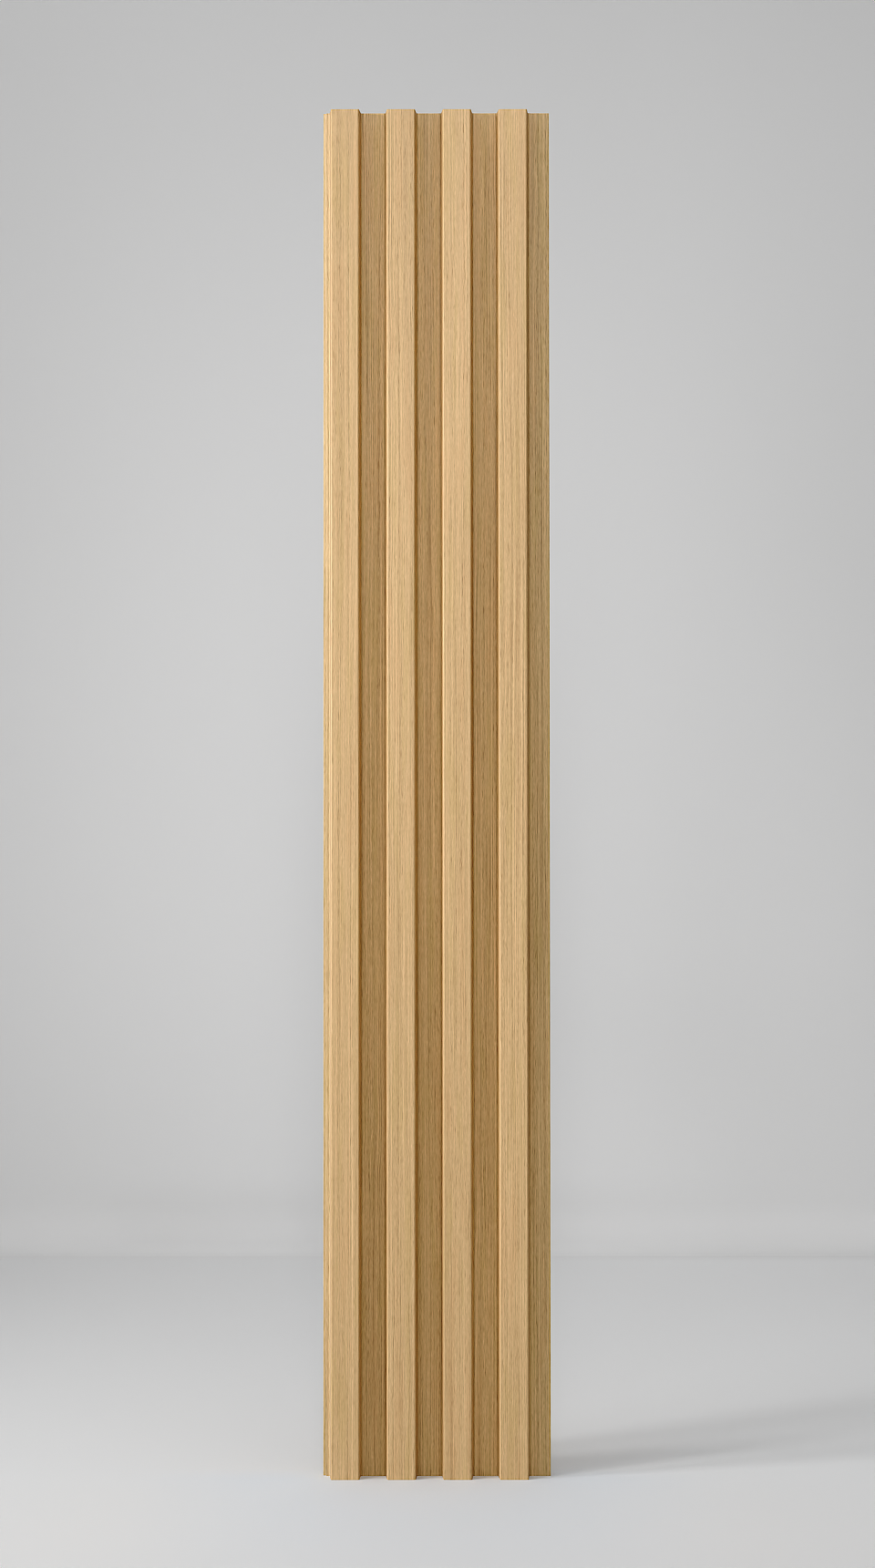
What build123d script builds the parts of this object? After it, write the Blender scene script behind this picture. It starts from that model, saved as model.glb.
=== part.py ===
from build123d import *
import math
import os

os.makedirs("parts", exist_ok=True)

# Fluted wall panel: one hollow extruded board with four ribs, cut square at both ends.
# Frame: millimetres, +Z up along the board, +X to the right seen from the front,
# the ribs face -Y and the back face is at +Y. Origin: middle of the bounding box's
# bottom face, so the board stands on its cut lower end.

# ---- driving dimensions (mm) ----
LENGTH = 975.0          # cut length, the height as it stands
PITCH = 40.0            # rib to rib; four pitches are the 160 mm cover width
RIBS = 4
RIB_DEPTH = 13.0        # rib front above the recess floor
BASE_T = 11.0           # back face to recess floor
RIB_TOP_W = 20.1        # width of a rib at its front, before the corners are rounded
RIB_FOOT_W = 22.4       # width of a rib where it meets the recess floor
R_TOP = 1.2             # rounding along the front corners of a rib
R_FOOT = 0.6            # fillet along the foot of a rib
FLANGE_W = 2.5          # strip of recess floor left of the first rib
FLOOR_END_W = 15.1      # strip of recess floor right of the last rib

TONGUE_L = 2.2          # tongue along the left edge
TONGUE_T = 3.2
TONGUE_DROP = 1.5       # its upper face below the recess floor
R_TONGUE = 0.5
GROOVE_D = 2.6          # groove along the right edge, for the next board's tongue
GROOVE_H = 3.6
LIP_T = 1.3             # lip over the groove
JAW_BACK = 0.3          # the jaw behind the groove stands back from the lip
R_EDGE = 0.4            # rounding of the outer long edges

WALL = 2.6              # front, back and floor walls round the chambers
WEB = 2.7               # upright webs between the chambers
R_CHAMBER = 1.2         # inside corners of the chambers

KEY_W = 7.0             # shallow keying grooves in the back face
KEY_D = 0.8
KEY_SLANT = 0.5         # their sides lean outwards by this much
R_KEY = 0.25

# ---- derived ----
THICK = BASE_T + RIB_DEPTH
FLOOR_W = PITCH - RIB_FOOT_W
WIDTH = (
    TONGUE_L + FLANGE_W + (RIBS - 1) * PITCH + RIB_FOOT_W + FLOOR_END_W
)
X_LEFT = -WIDTH / 2
X_RIGHT = WIDTH / 2
X_STEP = X_LEFT + TONGUE_L                      # root of the tongue
RIB_X = [
    X_LEFT + TONGUE_L + FLANGE_W + RIB_FOOT_W / 2 + i * PITCH for i in range(RIBS)
]


def at(x, t):
    """Point of the section: x across, t up from the back face."""
    return (x, THICK / 2 - t)


def rounded_face(corners):
    """Closed face through corners (x, t, radius), each corner rounded by its radius."""
    pts = [at(x, t) for x, t, _ in corners]
    radii = [r for _, _, r in corners]
    n = len(pts)
    cut = []
    for i in range(n):
        px, py = pts[i]
        ax, ay = pts[i - 1][0] - px, pts[i - 1][1] - py
        bx, by = pts[(i + 1) % n][0] - px, pts[(i + 1) % n][1] - py
        la, lb = math.hypot(ax, ay), math.hypot(bx, by)
        ax, ay, bx, by = ax / la, ay / la, bx / lb, by / lb
        half = math.acos(max(-1.0, min(1.0, ax * bx + ay * by))) / 2
        r = radii[i]
        if r <= 0:
            cut.append(((px, py), None, (px, py)))
            continue
        back = r / math.tan(half)
        mx, my = ax + bx, ay + by
        lm = math.hypot(mx, my)
        out = r / math.sin(half) - r
        cut.append(
            (
                (px + ax * back, py + ay * back),
                (px + mx / lm * out, py + my / lm * out),
                (px + bx * back, py + by * back),
            )
        )
    edges = []
    for i in range(n):
        first, middle, last = cut[i]
        if middle is not None:
            edges.append(ThreePointArc(first, middle, last))
        edges.append(Line(last, cut[(i + 1) % n][0]))
    return make_face(edges)


# ---- outer line of the section, from the back left corner, anticlockwise in (x, t) ----
outline = []
key_at = [x + PITCH / 2 for x in RIB_X[:-1]] + [RIB_X[-1] + PITCH / 2 - 2.0]
outline.append((X_STEP, 0.0, R_EDGE))
for kx in key_at:
    outline += [
        (kx - KEY_W / 2, 0.0, R_KEY),
        (kx - KEY_W / 2 - KEY_SLANT, KEY_D, R_KEY),
        (kx + KEY_W / 2 + KEY_SLANT, KEY_D, R_KEY),
        (kx + KEY_W / 2, 0.0, R_KEY),
    ]
groove_top = BASE_T - LIP_T
groove_low = groove_top - GROOVE_H
outline += [
    (X_RIGHT - JAW_BACK, 0.0, R_EDGE),
    (X_RIGHT - JAW_BACK, groove_low, R_EDGE),
    (X_RIGHT - GROOVE_D, groove_low, 0.4),
    (X_RIGHT - GROOVE_D, groove_top, 0.4),
    (X_RIGHT, groove_top, 0.3),
    (X_RIGHT, BASE_T, R_EDGE),
]
for x in reversed(RIB_X):
    outline += [
        (x + RIB_FOOT_W / 2, BASE_T, R_FOOT),
        (x + RIB_TOP_W / 2, THICK, R_TOP),
        (x - RIB_TOP_W / 2, THICK, R_TOP),
        (x - RIB_FOOT_W / 2, BASE_T, R_FOOT),
    ]
outline += [
    (X_STEP, BASE_T, 0.3),
    (X_STEP, BASE_T - TONGUE_DROP, 0.3),
    (X_LEFT, BASE_T - TONGUE_DROP, R_TONGUE),
    (X_LEFT, BASE_T - TONGUE_DROP - TONGUE_T, R_TONGUE),
    (X_STEP, BASE_T - TONGUE_DROP - TONGUE_T, 0.4),
]
section = rounded_face(outline)

# ---- chambers: a deep one behind each rib, a low one behind each recess ----
lean = (RIB_FOOT_W - RIB_TOP_W) / 2 / RIB_DEPTH   # lean of a rib's flank
rib_half_low = RIB_FOOT_W / 2 - WEB
rib_half_top = rib_half_low - lean * (RIB_DEPTH - WALL)
chambers = []
for x in RIB_X:
    chambers.append(
        rounded_face(
            [
                (x - rib_half_low, WALL, R_CHAMBER),
                (x + rib_half_low, WALL, R_CHAMBER),
                (x + rib_half_low, BASE_T, 4.0),
                (x + rib_half_top, THICK - WALL, R_CHAMBER),
                (x - rib_half_top, THICK - WALL, R_CHAMBER),
                (x - rib_half_low, BASE_T, 4.0),
            ]
        )
    )
low_wall = WALL + KEY_D                           # the back wall is full behind a keying groove
for x in RIB_X[:-1]:
    mid = x + PITCH / 2
    half = PITCH / 2 - RIB_FOOT_W / 2
    chambers.append(
        rounded_face(
            [
                (mid - half, low_wall, R_CHAMBER),
                (mid + half, low_wall, R_CHAMBER),
                (mid + half, BASE_T - WALL, R_CHAMBER),
                (mid - half, BASE_T - WALL, R_CHAMBER),
            ]
        )
    )
end_low = RIB_X[-1] + RIB_FOOT_W / 2
end_high = X_RIGHT - GROOVE_D - WALL
chambers.append(
    rounded_face(
        [
            (end_low, low_wall, R_CHAMBER),
            (end_high, low_wall, R_CHAMBER),
            (end_high, BASE_T - WALL, R_CHAMBER),
            (end_low, BASE_T - WALL, R_CHAMBER),
        ]
    )
)
for c in chambers:
    section -= c

panel = extrude(section, amount=LENGTH, dir=(0, 0, 1))
panel = panel.solids()[0]

print("ribs at", [round(x, 2) for x in RIB_X], "width", round(WIDTH, 2), "thick", THICK)
print("section area mm2", round(panel.volume / LENGTH, 1), "volume mm3", round(panel.volume))

export_step(panel, "parts/panel.step")
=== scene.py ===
import math
import bpy
import numpy as np
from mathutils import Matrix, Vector
from mathutils.geometry import tessellate_polygon


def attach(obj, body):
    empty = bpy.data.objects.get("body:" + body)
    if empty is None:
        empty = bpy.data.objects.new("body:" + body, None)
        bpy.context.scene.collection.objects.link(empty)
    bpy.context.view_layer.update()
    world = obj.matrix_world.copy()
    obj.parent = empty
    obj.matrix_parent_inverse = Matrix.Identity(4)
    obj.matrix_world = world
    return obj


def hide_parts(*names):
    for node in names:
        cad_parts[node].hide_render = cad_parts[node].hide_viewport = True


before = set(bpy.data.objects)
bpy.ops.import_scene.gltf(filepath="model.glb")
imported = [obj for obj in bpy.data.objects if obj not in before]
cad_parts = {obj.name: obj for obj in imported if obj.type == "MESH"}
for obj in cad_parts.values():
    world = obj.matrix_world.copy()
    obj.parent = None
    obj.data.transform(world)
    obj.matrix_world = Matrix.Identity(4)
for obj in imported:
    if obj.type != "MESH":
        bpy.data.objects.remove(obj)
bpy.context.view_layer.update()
scene = bpy.context.scene

MM = 0.001

# ------------------------------------------------------------------ camera
# A long lens a little over two metres away, half way up the board, tipped up by about a degree.
CAM_DIST = 2.10
CAM_H = 0.4757
PITCH_UP = math.radians(1.2)
PX_PER_M = 1503.5 / 0.975
F_PX = PX_PER_M * CAM_DIST
cam_data = bpy.data.cameras.new("camera")
cam_data.sensor_width = 36.0
cam_data.lens = F_PX / 1720.0 * 36.0
cam_data.clip_start = 0.05
cam_data.clip_end = 50.0
cam = bpy.data.objects.new("camera", cam_data)
scene.collection.objects.link(cam)
cam.location = (0.0007, -0.012 - CAM_DIST, CAM_H)
cam.rotation_euler = (math.pi / 2 + PITCH_UP, 0.0007, 0.0)
cam_data.shift_y = -(F_PX * math.tan(PITCH_UP) - 26.1) / 1720.0
scene.camera = cam

# ------------------------------------------------------------------ section of the board (mm)
LENGTH = 975.0
PITCH = 40.0
RIBS = 4
RIB_DEPTH = 13.0
BASE_T = 11.0
RIB_TOP_W = 20.1
RIB_FOOT_W = 22.4
R_TOP = 1.2
R_FOOT = 0.6
FLANGE_W = 2.5
FLOOR_END_W = 15.1
TONGUE_L = 2.2
TONGUE_T = 3.2
TONGUE_DROP = 1.5
R_TONGUE = 0.5
GROOVE_D = 2.6
GROOVE_H = 3.6
LIP_T = 1.3
JAW_BACK = 0.3
R_EDGE = 0.4
WALL = 2.6
WEB = 2.7
R_CHAMBER = 1.2
KEY_W = 7.0
KEY_D = 0.8
KEY_SLANT = 0.5
R_KEY = 0.25
FILM_WRAP = 9.0          # the film is turned in over the back face by this much

THICK = BASE_T + RIB_DEPTH
WIDTH = TONGUE_L + FLANGE_W + (RIBS - 1) * PITCH + RIB_FOOT_W + FLOOR_END_W
X_LEFT, X_RIGHT = -WIDTH / 2, WIDTH / 2
X_STEP = X_LEFT + TONGUE_L
RIB_X = [X_LEFT + TONGUE_L + FLANGE_W + RIB_FOOT_W / 2 + i * PITCH for i in range(RIBS)]
END_CHAMFER = 0.15


def section_loop(corners):
    """Points and outward normals round a closed line of corners (x, t, radius), as arrays in (x, y)."""
    pts = [np.array((x, THICK / 2 - t)) for x, t, _ in corners]
    n = len(pts)
    out_p, out_n = [], []
    for i in range(n):
        p = pts[i]
        a, b = pts[i - 1] - p, pts[(i + 1) % n] - p
        a, b = a / np.linalg.norm(a), b / np.linalg.norm(b)
        half = math.acos(float(np.clip(a @ b, -1, 1))) / 2
        r = corners[i][2]
        m = (a + b) / np.linalg.norm(a + b)
        centre = p + m * (r / math.sin(half))
        first, last = p + a * (r / math.tan(half)), p + b * (r / math.tan(half))
        turn = math.pi - 2 * half
        steps = max(2, int(round(turn / (math.pi / 2) * (9 if r >= 1.0 else 5 if r >= 0.4 else 4))))
        convex = a[0] * b[1] - a[1] * b[0] > 0     # y runs against t, so the loop is clockwise in (x, y)
        f0 = math.atan2(*(first - centre)[::-1])
        f1 = math.atan2(*(last - centre)[::-1])
        d = (f1 - f0 + math.pi) % (2 * math.pi) - math.pi
        for k in range(steps + 1):
            f = f0 + d * k / steps
            e = np.array((math.cos(f), math.sin(f)))
            out_p.append(centre + e * r)
            out_n.append(e if convex else -e)
    return np.array(out_p), np.array(out_n)


outline = [(X_STEP, 0.0, R_EDGE)]
for kx in [x + PITCH / 2 for x in RIB_X[:-1]] + [RIB_X[-1] + PITCH / 2 - 2.0]:
    outline += [
        (kx - KEY_W / 2, 0.0, R_KEY),
        (kx - KEY_W / 2 - KEY_SLANT, KEY_D, R_KEY),
        (kx + KEY_W / 2 + KEY_SLANT, KEY_D, R_KEY),
        (kx + KEY_W / 2, 0.0, R_KEY),
    ]
g_top = BASE_T - LIP_T
g_low = g_top - GROOVE_H
outline += [
    (X_RIGHT - JAW_BACK, 0.0, R_EDGE),
    (X_RIGHT - JAW_BACK, g_low, R_EDGE),
    (X_RIGHT - GROOVE_D, g_low, 0.4),
    (X_RIGHT - GROOVE_D, g_top, 0.4),
    (X_RIGHT, g_top, 0.3),
    (X_RIGHT, BASE_T, R_EDGE),
]
for x in reversed(RIB_X):
    outline += [
        (x + RIB_FOOT_W / 2, BASE_T, R_FOOT),
        (x + RIB_TOP_W / 2, THICK, R_TOP),
        (x - RIB_TOP_W / 2, THICK, R_TOP),
        (x - RIB_FOOT_W / 2, BASE_T, R_FOOT),
    ]
outline += [
    (X_STEP, BASE_T, 0.3),
    (X_STEP, BASE_T - TONGUE_DROP, 0.3),
    (X_LEFT, BASE_T - TONGUE_DROP, R_TONGUE),
    (X_LEFT, BASE_T - TONGUE_DROP - TONGUE_T, R_TONGUE),
    (X_STEP, BASE_T - TONGUE_DROP - TONGUE_T, 0.4),
]
lean = (RIB_FOOT_W - RIB_TOP_W) / 2 / RIB_DEPTH
half_low = RIB_FOOT_W / 2 - WEB
half_top = half_low - lean * (RIB_DEPTH - WALL)
low_wall = WALL + KEY_D
holes = []
for x in RIB_X:
    holes.append([
        (x - half_low, WALL, R_CHAMBER), (x + half_low, WALL, R_CHAMBER), (x + half_low, BASE_T, 4.0),
        (x + half_top, THICK - WALL, R_CHAMBER), (x - half_top, THICK - WALL, R_CHAMBER), (x - half_low, BASE_T, 4.0),
    ])
spans = [(x + RIB_FOOT_W / 2, x + PITCH - RIB_FOOT_W / 2) for x in RIB_X[:-1]]
spans.append((RIB_X[-1] + RIB_FOOT_W / 2, X_RIGHT - GROOVE_D - WALL))
for x0, x1 in spans:
    holes.append([
        (x0, low_wall, R_CHAMBER), (x1, low_wall, R_CHAMBER), (x1, BASE_T - WALL, R_CHAMBER), (x0, BASE_T - WALL, R_CHAMBER),
    ])


def split_long(p, n, at_x):
    """Adds points on the back face where the film's turned-in edge ends."""
    q, m = [], []
    for i in range(len(p)):
        j = (i + 1) % len(p)
        q.append(p[i]); m.append(n[i])
        on_back = abs(p[i][1] - THICK / 2) < 1e-6 and abs(p[j][1] - THICK / 2) < 1e-6
        if on_back:
            lo, hi = p[i][0], p[j][0]
            for x in sorted((v for v in at_x if min(lo, hi) + 0.05 < v < max(lo, hi) - 0.05), reverse=bool(hi < lo)):
                f = (x - lo) / (hi - lo)
                q.append(p[i] * (1 - f) + p[j] * f); m.append(n[i])
    return np.array(q), np.array(m)


WRAP_L, WRAP_R = X_STEP + FILM_WRAP, X_RIGHT - JAW_BACK - FILM_WRAP + 4.0
loops = [section_loop(outline)] + [section_loop(h) for h in holes]
loops[0] = split_long(*loops[0], (WRAP_L, WRAP_R))

# heights of the rows of points; the first and last step are the small chamfer of the saw cut
rows = [0.0, END_CHAMFER] + [LENGTH * k / 39 for k in range(1, 39)] + [LENGTH - END_CHAMFER, LENGTH]


def bake_strips():
    """Places on the map used when the looks are baked: the long faces run side by side as strips, the whole length
    each, with the front widest, the back narrower and the chamber walls thin; the ends lie above them."""
    arcs = []
    for li, (p, _) in enumerate(loops):
        q = np.roll(p, -1, axis=0)
        share = np.full(len(p), 0.08) if li else np.where((p[:, 1] + q[:, 1]) / 2 > THICK / 2 - 1.2, 0.45, 1.0)
        arcs.append(np.concatenate([[0.0], np.cumsum(np.linalg.norm(q - p, axis=1) * share)]))
    scale = (BAKE_PX - BAKE_GAP * (len(arcs) + 1)) / sum(a[-1] for a in arcs)
    at, places = BAKE_GAP, []
    for a in arcs:
        places.append((at + a * scale) / BAKE_PX)
        at += a[-1] * scale + BAKE_GAP
    return places


BAKE_PX, BAKE_GAP, BAKE_LONG, BAKE_END = 1024.0, 5.0, 0.985, 1.85      # pixels, and pixels to a millimetre


def build_board():
    verts, faces, mats, loop_normals, uv_film, uv_bake = [], [], [], [], [], []
    strips = bake_strips()
    rim = {0: [], 1: []}
    for li, (p, n) in enumerate(loops):
        if li:
            n = -n                                   # a chamber's wall looks into the chamber
        count = len(p)
        base = len(verts)
        step = np.linalg.norm(np.roll(p, -1, axis=0) - p, axis=1)
        arc = np.concatenate([[0.0], np.cumsum(step)])
        for z in rows:
            at_end = z in (0.0, LENGTH)
            q = p - n * END_CHAMFER if at_end else p
            for k in range(count):
                verts.append((q[k][0], q[k][1], z))
        for r in range(len(rows) - 1):
            for k in range(count):
                k2 = (k + 1) % count
                a, b = base + r * count + k, base + r * count + k2
                c, d = base + (r + 1) * count + k2, base + (r + 1) * count + k
                # outer loop and chambers are both anticlockwise in (x, t); the material is on the
                # left of the outer one and outside the chambers
                face = (a, b, c, d) if li else (b, a, d, c)
                faces.append(face)
                if li:
                    m = 1
                else:
                    mid = (p[k] + p[k2]) / 2
                    back = mid[1] > THICK / 2 - KEY_D - 0.05
                    m = 1 if back and WRAP_L < mid[0] < WRAP_R else 0
                mats.append(m)
                slope = {0: -1.0, len(rows) - 2: 1.0}.get(r, 0.0)
                for v in face:
                    kk = (v - base) % count
                    nn = np.array((n[kk][0], n[kk][1], slope))
                    loop_normals.append(nn / np.linalg.norm(nn))
                    u = arc[kk] if not (kk == 0 and k == count - 1) else arc[count]
                    uv_film.append((u * MM, verts[v][2] * MM))
                    place = strips[li][count if kk == 0 and k == count - 1 else kk]
                    uv_bake.append((place, (BAKE_GAP + BAKE_LONG * verts[v][2]) / BAKE_PX))
        for e, r in ((0, 0), (1, len(rows) - 1)):
            rim[e].append([base + r * count + k for k in range(count)])
    for e in (0, 1):
        rings = rim[e]
        flat = [v for ring in rings for v in ring]
        tris = tessellate_polygon([[Vector((verts[v][0], verts[v][1], 0.0)) for v in ring] for ring in rings])
        turn = lambda ids: (
            (verts[ids[1]][0] - verts[ids[0]][0]) * (verts[ids[2]][1] - verts[ids[0]][1])
            - (verts[ids[1]][1] - verts[ids[0]][1]) * (verts[ids[2]][0] - verts[ids[0]][0])
        )
        tris = [[flat[i] for i in t] for t in tris]
        # three points on one line: the triangle across its long side is split at the middle point instead
        for t in [t for t in tris if abs(turn(t)) < 1e-6]:
            a, m, b = sorted(t, key=lambda i: verts[i][:2])
            tris.remove(t)
            other = next(o for o in tris if a in o and b in o and m not in o)
            tris.remove(other)
            while other[2] in (a, b):
                other = other[1:] + other[:1]
            tris += [[other[0], m, other[2]], [m, other[1], other[2]]]
        for ids in tris:
            if (turn(ids) > 0) != (e == 1):
                ids.reverse()
            faces.append(tuple(ids)); mats.append(2)
            for i in ids:
                loop_normals.append(np.array((0.0, 0.0, 1.0 if e else -1.0)))
                uv_film.append((verts[i][0] * MM, verts[i][1] * MM))
                right = BAKE_GAP + e * 340.0 + BAKE_END * (verts[i][0] - X_LEFT)
                uv_bake.append((right / BAKE_PX, (974.0 + BAKE_END * (verts[i][1] + THICK / 2)) / BAKE_PX))
    me = bpy.data.meshes.new("board")
    me.from_pydata([tuple(c * MM for c in v) for v in verts], [], faces)
    me.polygons.foreach_set("material_index", mats)
    me.polygons.foreach_set("use_smooth", [True] * len(faces))
    uv = me.uv_layers.new(name="film")
    uv.data.foreach_set("uv", np.array(uv_film).ravel())
    uv = me.uv_layers.new(name="OFBake", do_init=False)
    uv.data.foreach_set("uv", np.array(uv_bake).ravel())
    me.validate(clean_customdata=False)
    me.normals_split_custom_set([tuple(v) for v in loop_normals])
    me.update()
    return bpy.data.objects.new("board", me)


board = build_board()
scene.collection.objects.link(board)


# ------------------------------------------------------------------ materials
class Tree:
    """Short hand for building a material's nodes."""

    def __init__(self, name):
        self.mat = bpy.data.materials.new(name)
        self.mat.use_nodes = True
        self.t = self.mat.node_tree
        self.t.nodes.clear()

    def node(self, kind, **kw):
        n = self.t.nodes.new(kind)
        for k, v in kw.items():
            setattr(n, k, v)
        return n

    def plug(self, value, socket):
        if isinstance(value, bpy.types.NodeSocket):
            self.t.links.new(value, socket)
        elif value is not None:
            socket.default_value = value

    def math(self, op, a, b=None, c=None, clamp=False):
        n = self.node("ShaderNodeMath", operation=op, use_clamp=clamp)
        for v, s in zip((a, b, c), n.inputs):
            self.plug(v, s)
        return n.outputs[0]

    def add(self, a, b):
        return self.math("ADD", a, b)

    def sub(self, a, b):
        return self.math("SUBTRACT", a, b)

    def mul(self, a, b):
        return self.math("MULTIPLY", a, b)

    def vec(self, x, y, z=0.0):
        n = self.node("ShaderNodeCombineXYZ")
        for v, s in zip((x, y, z), n.inputs):
            self.plug(v, s)
        return n.outputs[0]

    def noise(self, vector, detail=2.0, rough=0.5, dims="2D", lac=2.0):
        """fBM noise about 0: roughly -0.5 to 0.5."""
        n = self.node("ShaderNodeTexNoise", noise_dimensions=dims)
        self.plug(vector, n.inputs["Vector"])
        n.inputs["Scale"].default_value = 1.0
        n.inputs["Detail"].default_value = detail
        n.inputs["Roughness"].default_value = rough
        n.inputs["Lacunarity"].default_value = lac
        return self.sub(n.outputs["Fac"], 0.5)

    def ramp(self, v, lo, hi, to_lo=0.0, to_hi=1.0, smooth=True):
        n = self.node("ShaderNodeMapRange", interpolation_type="SMOOTHSTEP" if smooth else "LINEAR", clamp=True)
        for x, s in zip((v, lo, hi, to_lo, to_hi), n.inputs):
            self.plug(x, s)
        return n.outputs[0]

    def mix(self, fac, a, b, blend="MIX"):
        n = self.node("ShaderNodeMix", data_type="RGBA", blend_type=blend, clamp_factor=True)
        self.plug(fac, n.inputs[0])
        self.plug(a, n.inputs[6])
        self.plug(b, n.inputs[7])
        return n.outputs[2]

    def scaled(self, u, v, su, sv, off=(0.0, 0.0)):
        return self.vec(
            self.math("MULTIPLY_ADD", u, 1.0 / su, off[0]), self.math("MULTIPLY_ADD", v, 1.0 / sv, off[1])
        )


def srgb(r, g, b):
    f = lambda c: c / 12.92 if c <= 0.04045 else ((c + 0.055) / 1.055) ** 2.4
    return (f(r / 255), f(g / 255), f(b / 255), 1.0)


OAK = (0.504, 0.327, 0.163)       # the film's middle tone, linear


CORNER_SHADE_R, CORNER_SHADE_A = 1.6, 0.52      # reach in millimetres and strength of the painted shade along the inside corners


def oak_film():
    t = Tree("oak_film")
    uvn = t.node("ShaderNodeUVMap", uv_map="film")
    sep = t.node("ShaderNodeSeparateXYZ")
    t.plug(uvn.outputs[0], sep.inputs[0])
    u = t.mul(sep.outputs[0], 1000.0)      # millimetres across the film
    v = t.mul(sep.outputs[1], 1000.0)      # millimetres along it
    tc = t.node("ShaderNodeTexCoord")
    at = t.node("ShaderNodeSeparateXYZ")
    t.plug(tc.outputs["Object"], at.inputs[0])
    px, py = t.mul(at.outputs[0], 1000.0), t.mul(at.outputs[1], 1000.0)
    low = t.ramp(py, -0.4, 0.6)            # 1 on the recess floors and everything behind them
    # the grain wanders a little: slow drift, and small wiggles in patches
    drift = t.noise(t.scaled(u, v, 90.0, 420.0, (3.1, 7.7)), 1.0)
    wig = t.noise(t.scaled(u, v, 14.0, 46.0, (11.3, 2.9)), 2.0)
    patch = t.ramp(t.noise(t.scaled(u, v, 30.0, 160.0, (5.2, 19.4)), 1.0), -0.02, 0.16)
    w = t.add(u, t.mul(drift, 3.0))
    w = t.add(w, t.mul(t.mul(wig, patch), 2.4))
    # streaks at several widths and lengths
    s0 = t.noise(t.scaled(w, v, 16.0, 900.0, (1.7, 3.3)), 1.0)
    s1 = t.noise(t.scaled(w, v, 3.6, 700.0, (21.7, 8.3)), 2.0)
    s2 = t.noise(t.scaled(w, v, 1.15, 520.0, (41.7, 18.3)), 2.0, 0.6)
    s3 = t.noise(t.scaled(w, v, 1.0, 60.0, (61.7, 28.3)), 2.0, 0.6)
    s4 = t.noise(t.scaled(w, v, 0.8, 16.0, (81.7, 38.3)), 2.0, 0.55)
    s5 = t.noise(t.scaled(w, v, 0.55, 4.5, (101.7, 48.3)), 1.0, 0.5)
    strength = t.ramp(t.noise(t.scaled(w, v, 22.0, 1500.0, (211.0, 5.0)), 1.0), -0.16, 0.2, 0.55, 1.5)
    tone = t.mul(s0, 0.30)
    tone = t.add(tone, t.mul(s1, 0.42))
    tone = t.add(tone, t.mul(t.mul(s2, strength), 0.88))
    for s, a in ((s3, 0.56), (s4, 0.47), (s5, 0.45)):
        tone = t.add(tone, t.mul(s, a))

    # thin lines running a long way, in patches
    def lines(su, sv, off, gate_u, gate_off):
        n = t.math("ABSOLUTE", t.noise(t.scaled(w, v, su, sv, off), 0.0))
        gate = t.ramp(t.noise(t.scaled(w, v, gate_u, 340.0, gate_off), 1.0), -0.06, 0.14)
        return t.mul(t.ramp(n, 0.075, 0.01), gate)

    tone = t.sub(tone, t.mul(lines(2.1, 420.0, (151.0, 3.0), 7.0, (163.0, 9.0)), 0.26))
    tone = t.add(tone, t.mul(lines(2.6, 380.0, (177.0, 13.0), 9.0, (189.0, 19.0)), 0.16))

    # pores: short dark spindles lined up with the grain, thicker in some bands than others
    def spindles(su, sv, off, size, soft):
        n = t.node("ShaderNodeTexVoronoi", voronoi_dimensions="2D", feature="F1", distance="EUCLIDEAN")
        t.plug(t.scaled(w, v, su, sv, off), n.inputs["Vector"])
        n.inputs["Scale"].default_value = 1.0
        n.inputs["Randomness"].default_value = 1.0
        sep2 = t.node("ShaderNodeSeparateColor")
        t.plug(n.outputs["Color"], sep2.inputs[0])
        near = t.ramp(n.outputs["Distance"], size, size * soft)
        return near, sep2.outputs[0], sep2.outputs[1]

    band = t.ramp(t.noise(t.scaled(w, v, 2.6, 600.0, (7.1, 55.0)), 1.0), -0.12, 0.16)
    p1, r1, q1 = spindles(1.05, 15.0, (0.0, 0.0), 0.30, 0.35)
    pore1 = t.mul(t.mul(p1, t.ramp(r1, 0.42, 0.52)), t.add(t.mul(band, 0.75), 0.25))
    p2, r2, q2 = spindles(0.7, 6.5, (33.0, 17.0), 0.32, 0.3)
    pore2 = t.mul(t.mul(p2, t.ramp(r2, 0.5, 0.6)), t.add(t.mul(band, 0.7), 0.3))
    p3, r3, q3 = spindles(1.6, 7.0, (73.0, 57.0), 0.26, 0.3)
    fleck = t.mul(p3, t.ramp(r3, 0.74, 0.8))
    tone = t.sub(tone, t.mul(pore1, 0.30))
    tone = t.sub(tone, t.mul(pore2, 0.22))
    tone = t.add(tone, t.mul(fleck, 0.14))
    tone = t.add(t.mul(tone, t.math("MULTIPLY_ADD", low, 0.19, 0.81)), 0.035)
    # colour: the same oak lighter and darker, its darker parts a little redder and deeper
    col = t.node("ShaderNodeValToRGB")
    r = col.color_ramp
    r.interpolation = "LINEAR"
    shades = [-1.0, -0.7, -0.45, -0.25, -0.1, 0.05, 0.2, 0.35, 0.6, 1.0]
    for i, d in enumerate(shades):
        c = [m * math.exp(k * (d if d < 0.3 else 0.3 + 0.6 * (d - 0.3))) for m, k in zip(OAK, (0.86, 1.0, 1.2))]
        pos = 0.5 + d / 2
        e = r.elements[0] if i == 0 else r.elements[1] if i == len(shades) - 1 else r.elements.new(pos)
        e.position = pos
        e.color = (*c, 1.0)
    t.plug(t.math("MULTIPLY_ADD", tone, 0.5, 0.5), col.inputs[0])
    hue = t.noise(t.scaled(w, v, 7.0, 110.0, (131.0, 77.0)), 2.0)
    base = t.mix(t.ramp(hue, 0.0, 0.22, 0.0, 0.14), col.outputs[0], srgb(206, 160, 118))
    base = t.mix(t.ramp(hue, 0.0, -0.22, 0.0, 0.16), base, srgb(188, 164, 106))
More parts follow.
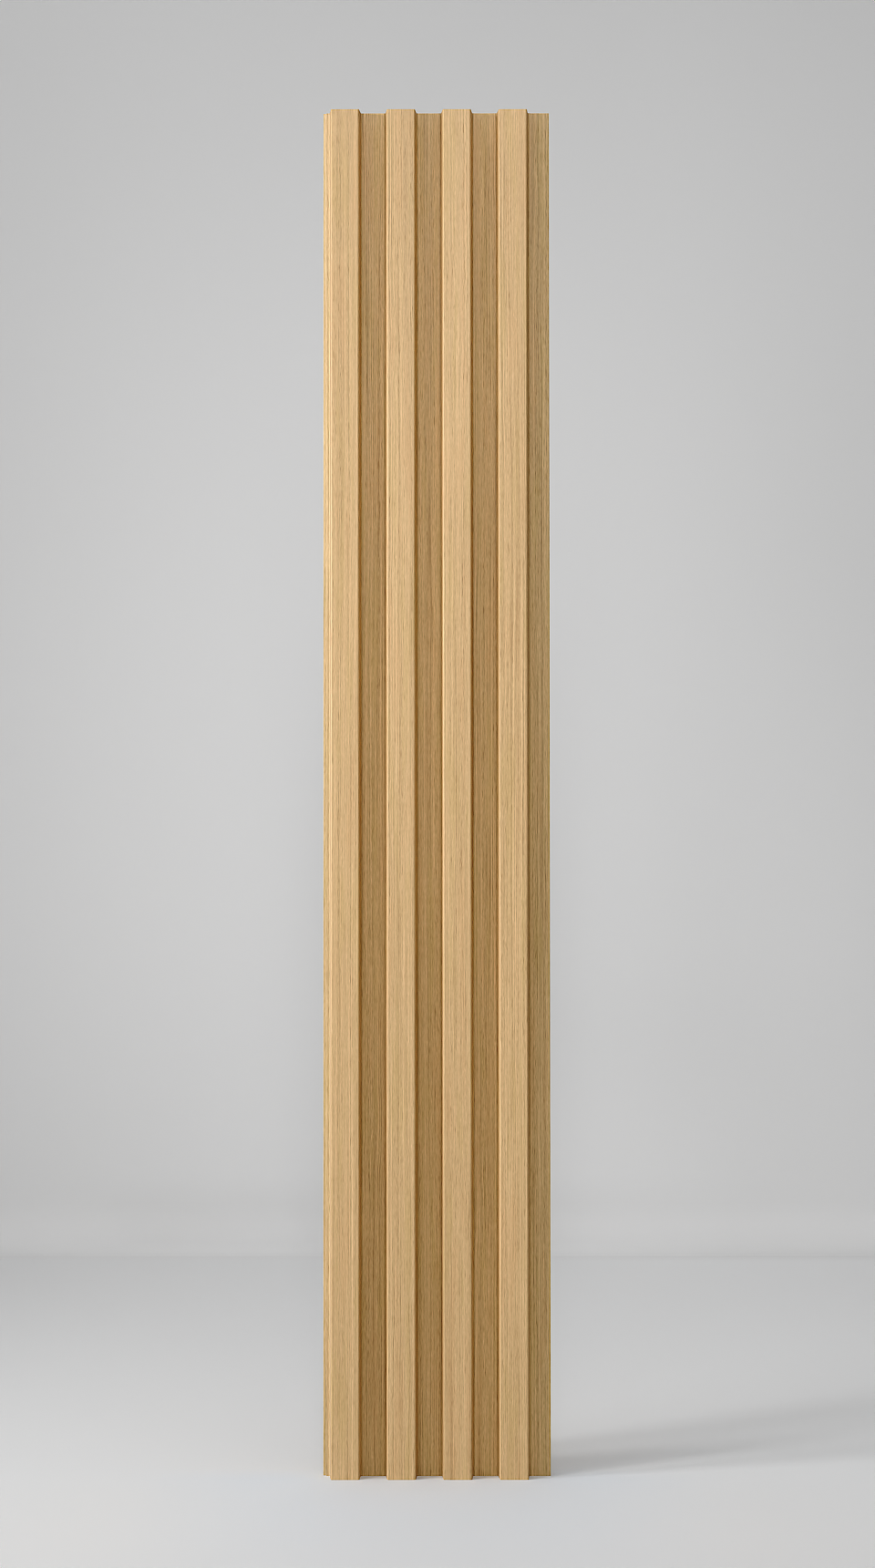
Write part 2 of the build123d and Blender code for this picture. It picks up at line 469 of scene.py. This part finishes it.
    # painted shade: on the recess floors and everything behind them the film is tinted a little less red
    # and more green, standing in for the colour of the shade down in the recesses
    base = t.mix(low, base, t.mix(1.0, base, (0.988, 1.012, 0.998, 1), "MULTIPLY"))
    # painted light: a cooler, less red tint on the left flange, to take back the key light and the warm bounce from
    # the first rib that fall on it
    flange_bounce_tint = t.mul(t.ramp(px, -75.5, -76.6), low)
    base = t.mix(flange_bounce_tint, base, t.mix(1.0, base, (0.95, 1.01, 1.10, 1), "MULTIPLY"))
    # painted shade: the film is darkened along the inside corners at the ribs' feet, all but the first rib's left
    # foot
    from_rib = t.math("ABSOLUTE", t.math("WRAP", t.sub(px, RIB_X[0]), PITCH / 2, -PITCH / 2))
    d = t.vec(t.sub(from_rib, RIB_FOOT_W / 2), t.sub(py, THICK / 2 - BASE_T))
    dist = t.node("ShaderNodeVectorMath", operation="LENGTH")
    t.plug(d, dist.inputs[0])
    corner_shade = t.mul(t.ramp(dist.outputs["Value"], CORNER_SHADE_R, 0.5), t.ramp(px, -76.0, -70.0))
    base = t.mix(t.mul(corner_shade, CORNER_SHADE_A), base, t.mix(1.0, base, (0.54, 0.48, 0.40, 1), "MULTIPLY"))
    # relief and gloss: pores are shallow dents, the streaks a faint brush
    h = t.mul(t.add(pore1, t.mul(pore2, 0.7)), -0.00006)
    h = t.add(h, t.mul(t.add(s3, t.add(s4, s5)), 0.00005))
    bump = t.node("ShaderNodeBump")
    bump.inputs["Strength"].default_value = 0.55
    bump.inputs["Distance"].default_value = 1.0
    t.plug(h, bump.inputs["Height"])
    bsdf = t.node("ShaderNodeBsdfPrincipled")
    t.plug(base, bsdf.inputs["Base Color"])
    t.plug(t.add(t.mul(t.add(s4, s1), 0.22), t.add(t.mul(pore1, 0.12), 0.50)), bsdf.inputs["Roughness"])
    bsdf.inputs["Specular IOR Level"].default_value = 0.32
    t.plug(bump.outputs[0], bsdf.inputs["Normal"])
    out = t.node("ShaderNodeOutputMaterial")
    t.plug(bsdf.outputs[0], out.inputs[0])
    return t.mat


def core(name, cut):
    """The wood-plastic behind the film: tan, with fine flecks; drawn lines along the back, saw marks on a cut end."""
    t = Tree(name)
    tc = t.node("ShaderNodeTexCoord")
    sep = t.node("ShaderNodeSeparateXYZ")
    t.plug(tc.outputs["Object"], sep.inputs[0])
    x, y, z = (t.mul(o, 1000.0) for o in sep.outputs)
    if cut:
        fine = t.noise(t.vec(t.mul(x, 1.1), t.mul(y, 1.1), z), 4.0, 0.6, "3D")
        arc = t.add(t.mul(x, 0.985), t.mul(y, 0.17))
        lines = t.noise(t.scaled(arc, y, 0.42, 26.0, (5.0, 9.0)), 2.0, 0.6)
        slow = t.noise(t.scaled(x, y, 22.0, 30.0), 2.0)
    else:
        fine = t.noise(t.vec(t.mul(x, 0.9), t.mul(y, 0.9), t.mul(z, 0.35)), 4.0, 0.62, "3D")
        lines = t.noise(t.vec(t.mul(x, 1.3), t.mul(y, 1.3), t.mul(z, 0.0022)), 3.0, 0.6, "3D")
        slow = t.noise(t.vec(t.mul(x, 0.02), t.mul(y, 0.02), t.mul(z, 0.006)), 2.0, 0.5, "3D")
    n = t.node("ShaderNodeTexVoronoi", voronoi_dimensions="3D", feature="F1")
    t.plug(t.vec(t.mul(x, 0.8), t.mul(y, 0.8), t.mul(z, 0.8 if cut else 0.3)), n.inputs["Vector"])
    n.inputs["Scale"].default_value = 1.0
    sc = t.node("ShaderNodeSeparateColor")
    t.plug(n.outputs["Color"], sc.inputs[0])
    speck = t.mul(t.ramp(n.outputs["Distance"], 0.30, 0.10), t.ramp(sc.outputs[0], 0.72, 0.8))
    tone = t.add(t.add(t.mul(fine, 0.55), t.mul(lines, 0.5)), t.mul(slow, 0.5))
    tone = t.math("MULTIPLY_ADD", tone, 1.0, 0.5)
    base = t.mix(tone, srgb(150, 118, 80), srgb(214, 184, 142))
    base = t.mix(t.mul(speck, 0.55), base, srgb(112, 80, 48))
    bump = t.node("ShaderNodeBump")
    bump.inputs["Strength"].default_value = 0.7
    bump.inputs["Distance"].default_value = 1.0
    t.plug(t.add(t.mul(fine, 0.00006), t.mul(lines, 0.00018 if cut else 0.00007)), bump.inputs["Height"])
    bsdf = t.node("ShaderNodeBsdfPrincipled")
    t.plug(base, bsdf.inputs["Base Color"])
    t.plug(t.math("MULTIPLY_ADD", fine, 0.3, 0.72 if cut else 0.6), bsdf.inputs["Roughness"])
    bsdf.inputs["Specular IOR Level"].default_value = 0.3
    t.plug(bump.outputs[0], bsdf.inputs["Normal"])
    out = t.node("ShaderNodeOutputMaterial")
    t.plug(bsdf.outputs[0], out.inputs[0])
    return t.mat


board.data.materials.append(oak_film())
board.data.materials.append(core("core_drawn", False))
board.data.materials.append(core("core_cut", True))
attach(board, "root")
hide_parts("panel")

# ------------------------------------------------------------------ floor and backdrop
WALL_Y = 1.08
WALL_R = 0.05


FLAT_W, FLAT_H = 0.62, 1.5       # half width and height of the studio flat behind the panel


def backdrop():
    """A wide floor, and a flat standing on it behind the panel with a small cove at its foot."""
    prof = [(WALL_Y - WALL_R, 0.0)]
    for k in range(1, 9):
        a = math.pi / 2 * k / 8
        prof.append((WALL_Y - WALL_R + WALL_R * math.sin(a), WALL_R - WALL_R * math.cos(a)))
    prof.append((WALL_Y, FLAT_H))
    v, f = [], []
    for y, z in prof:
        v += [(-FLAT_W, y, z), (FLAT_W, y, z)]
    for i in range(len(prof) - 1):
        f.append((2 * i, 2 * i + 1, 2 * i + 3, 2 * i + 2))
    # the floor meets the flat's foot along its front edge and runs on round it
    k = len(v)
    v += [(x, y, 0.0) for y in (-40.0, WALL_Y - WALL_R, 40.0) for x in (-40.0, -FLAT_W, FLAT_W, 40.0)]
    for r in range(2):
        for c in range(3):
            a = k + 4 * r + c
            if r == 1 and c == 1:
                continue
            f.append((a, a + 1, a + 5, a + 4))
    n = len(v)
    v += [(-FLAT_W, WALL_Y, 0.0), (FLAT_W, WALL_Y, 0.0)]
    f.append((n, n + 1, k + 10, k + 9))
    me = bpy.data.meshes.new("floor")
    me.from_pydata(v, [], f)
    for p in me.polygons:
        p.use_smooth = True
    me.update()
    ob = bpy.data.objects.new("floor", me)
    scene.collection.objects.link(ob)
    t = Tree("studio_grey")
    tc = t.node("ShaderNodeTexCoord")
    n = t.noise(tc.outputs["Object"], 3.0, 0.5, "3D")
    base = t.mix(t.math("MULTIPLY_ADD", n, 0.5, 0.5), (0.78, 0.78, 0.78, 1), (0.83, 0.83, 0.83, 1))
    # painted light and shade: the floor is painted paler front left, and the flat painted darker towards the right,
    # high up on the right, in its cove and at its foot
    at = t.node("ShaderNodeSeparateXYZ")
    t.plug(tc.outputs["Object"], at.inputs[0])
    x, y, z = at.outputs
    wall = t.ramp(y, 0.98, 1.07)
    # painted light: a paler pool on the floor, front left
    front = t.mul(t.mul(t.ramp(y, 1.4, 0.05), t.ramp(x, 0.05, -0.42)), t.mul(t.sub(1.0, wall), 0.055))
    # painted shade: the flat darker near its foot, most to the right of the panel
    foot = t.mul(t.mul(t.ramp(z, 0.34, 0.02), wall), t.math("MULTIPLY_ADD", t.mul(t.ramp(x, -0.05, 0.25), t.ramp(x, 0.52, 0.3)), -0.05, -0.02))
    # painted shade: a darker band in the cove, across the middle of the flat
    cove = t.mul(t.mul(t.ramp(z, 0.09, 0.035), t.ramp(z, 0.0, 0.012)), t.mul(t.mul(t.ramp(x, -0.42, -0.28), t.ramp(x, 0.42, 0.05)), -0.05))
    # painted shade: the flat darker towards the right
    right_shade = t.mul(t.ramp(x, 0.08, 0.62), t.math("MULTIPLY_ADD", t.mul(wall, t.ramp(z, 1.3, 0.3)), -0.13, -0.03))
    # painted shade: the flat darker from left of the panel rightwards, to take back light a lamp spills on it, less
    # so low on the right
    reach = t.sub(1.0, t.mul(t.mul(t.ramp(x, 0.25, 0.45), t.ramp(z, 0.8, 0.3)), 0.6))
    spill_shade = t.mul(t.mul(t.mul(t.ramp(x, -0.35, 0.2), t.ramp(z, 0.05, 0.28)), t.mul(wall, reach)), -0.088)
    # painted shade: the flat darker high up on the right
    upper_shade = t.mul(t.mul(t.ramp(x, 0.2, 0.5), t.ramp(z, 0.5, 0.95)), t.mul(wall, -0.022))
    g = t.add(t.add(t.add(1.0, foot), cove), t.add(t.add(front, right_shade), t.add(spill_shade, upper_shade)))
    grey = t.node("ShaderNodeCombineColor")
    floor = t.sub(1.0, wall)
    # painted light: a cooler tint on the floor just before the panel, to take back the warm light that the oak
    # bounces onto it
    near = t.mul(t.mul(t.ramp(y, -0.42, -0.02), t.ramp(y, 0.03, -0.012)), t.mul(t.ramp(x, -0.24, -0.07), t.ramp(x, 0.22, 0.05)))
    for i, (k, c) in enumerate(((-0.004, -0.062), (0.0, -0.018), (0.004, 0.034))):
        t.plug(t.mul(g, t.math("MULTIPLY_ADD", near, c, t.math("MULTIPLY_ADD", floor, k, 1.0))), grey.inputs[i])
    base = t.mix(1.0, base, grey.outputs[0], "MULTIPLY")
    bsdf = t.node("ShaderNodeBsdfPrincipled")
    t.plug(base, bsdf.inputs["Base Color"])
    bsdf.inputs["Roughness"].default_value = 0.8
    bsdf.inputs["Specular IOR Level"].default_value = 0.2
    out = t.node("ShaderNodeOutputMaterial")
    t.plug(bsdf.outputs[0], out.inputs[0])
    me.materials.append(t.mat)


backdrop()


# ------------------------------------------------------------------ light
def area(name, at, to, w, h, power, spread=180.0, colour=(1, 1, 1)):
    d = bpy.data.lights.new(name, "AREA")
    d.shape = "RECTANGLE"
    d.size, d.size_y = w, h
    d.energy = power
    d.spread = math.radians(spread)
    d.color = colour
    o = bpy.data.objects.new(name, d)
    scene.collection.objects.link(o)
    o.location = at
    o.rotation_euler = (Vector(to) - Vector(at)).to_track_quat("-Z", "Y").to_euler()
    return o


world = bpy.data.worlds.new("world")
scene.world = world
world.use_nodes = True
world.node_tree.nodes["Background"].inputs[0].default_value = (1, 1, 1, 1)
world.node_tree.nodes["Background"].inputs[1].default_value = 0.28

# the key rakes across the ribs from the left, low and narrow; the rest is broad and soft
def round_board(az, el, dist, aim):
    """A place at this azimuth from the board's front (towards the left), elevation and distance from aim."""
    az, el = math.radians(az), math.radians(el)
    return (aim[0] - dist * math.sin(az) * math.cos(el), aim[1] - dist * math.cos(az) * math.cos(el), aim[2] + dist * math.sin(el))


KEY_AIM = (-0.03, -0.045, 0.56)
area("key", round_board(74, 8, 2.8, KEY_AIM), KEY_AIM, 0.42, 0.7, 3.6, 50.0)
area("key_front", round_board(59, 9, 2.8, KEY_AIM), KEY_AIM, 0.4, 0.6, 2.75, 50.0)
area("key_high", round_board(52, 50, 3.0, (0, 0, 0.55)), (0, 0, 0.55), 0.7, 0.7, 0.65, 50.0)
area("right", round_board(-78, 8, 2.8, (0, 0, 0.55)), (0, 0, 0.55), 0.6, 0.7, 0.15, 40.0)
area("front", (0.0, -2.7, 1.4), (0, 0, 0.38), 0.5, 0.8, 8.3)
area("front_far", (0.0, -3.2, 2.2), (0.0, 1.08, 0.62), 0.35, 0.9, 2.25, 50.0)
area("front_high", (0.0, -1.6, 2.9), (0, 0.5, 0.4), 1.4, 1.0, 0.9, 90.0)
area("above", (0.0, -0.3, 2.7), (0.0001, -0.3, 0), 2.2, 1.6, 12.0)
area("wall_left", (-1.6, -0.6, 1.9), (-0.25, 1.08, 0.8), 0.8, 0.8, 0.25, 55.0)

scene.view_settings.view_transform = "Standard"
scene.view_settings.look = "None"
scene.view_settings.exposure = 0.0
scene.view_settings.gamma = 1.0
# black point: a straight line from (BLACK, 0) to (1, 1) with a soft toe, so that no channel runs to nothing
BLACK, TOE = 0.06, 0.020
cm = scene.view_settings.curve_mapping
curve = cm.curves[3]
steps = [0.0, 0.02, 0.035, 0.05, 0.065, 0.08, 0.10, 0.13, 0.18, 0.3, 0.6, 1.0]
soft = lambda v: TOE * math.log(1.0 + math.exp((v - BLACK) / TOE)) / (1.0 - BLACK)
for v in steps[1:-1]:
    curve.points.new(v, soft(v))
for q, v in zip(curve.points, steps):
    q.location = (v, 1.0 if v == 1.0 else soft(v))
    q.handle_type = "AUTO" if v < 0.15 else "VECTOR"
cm.update()
scene.view_settings.use_curve_mapping = True
scene.cycles.filter_width = 1.1

# the photograph has been sharpened a little, so this is too
scene.use_nodes = True
ct = scene.node_tree
ct.nodes.clear()
layers = ct.nodes.new("CompositorNodeRLayers")
crisp = ct.nodes.new("CompositorNodeFilter")
crisp.filter_type = "SHARPEN"
crisp.inputs["Fac"].default_value = 0.09
final = ct.nodes.new("CompositorNodeComposite")
ct.links.new(layers.outputs["Image"], crisp.inputs["Image"])
ct.links.new(crisp.outputs["Image"], final.inputs["Image"])
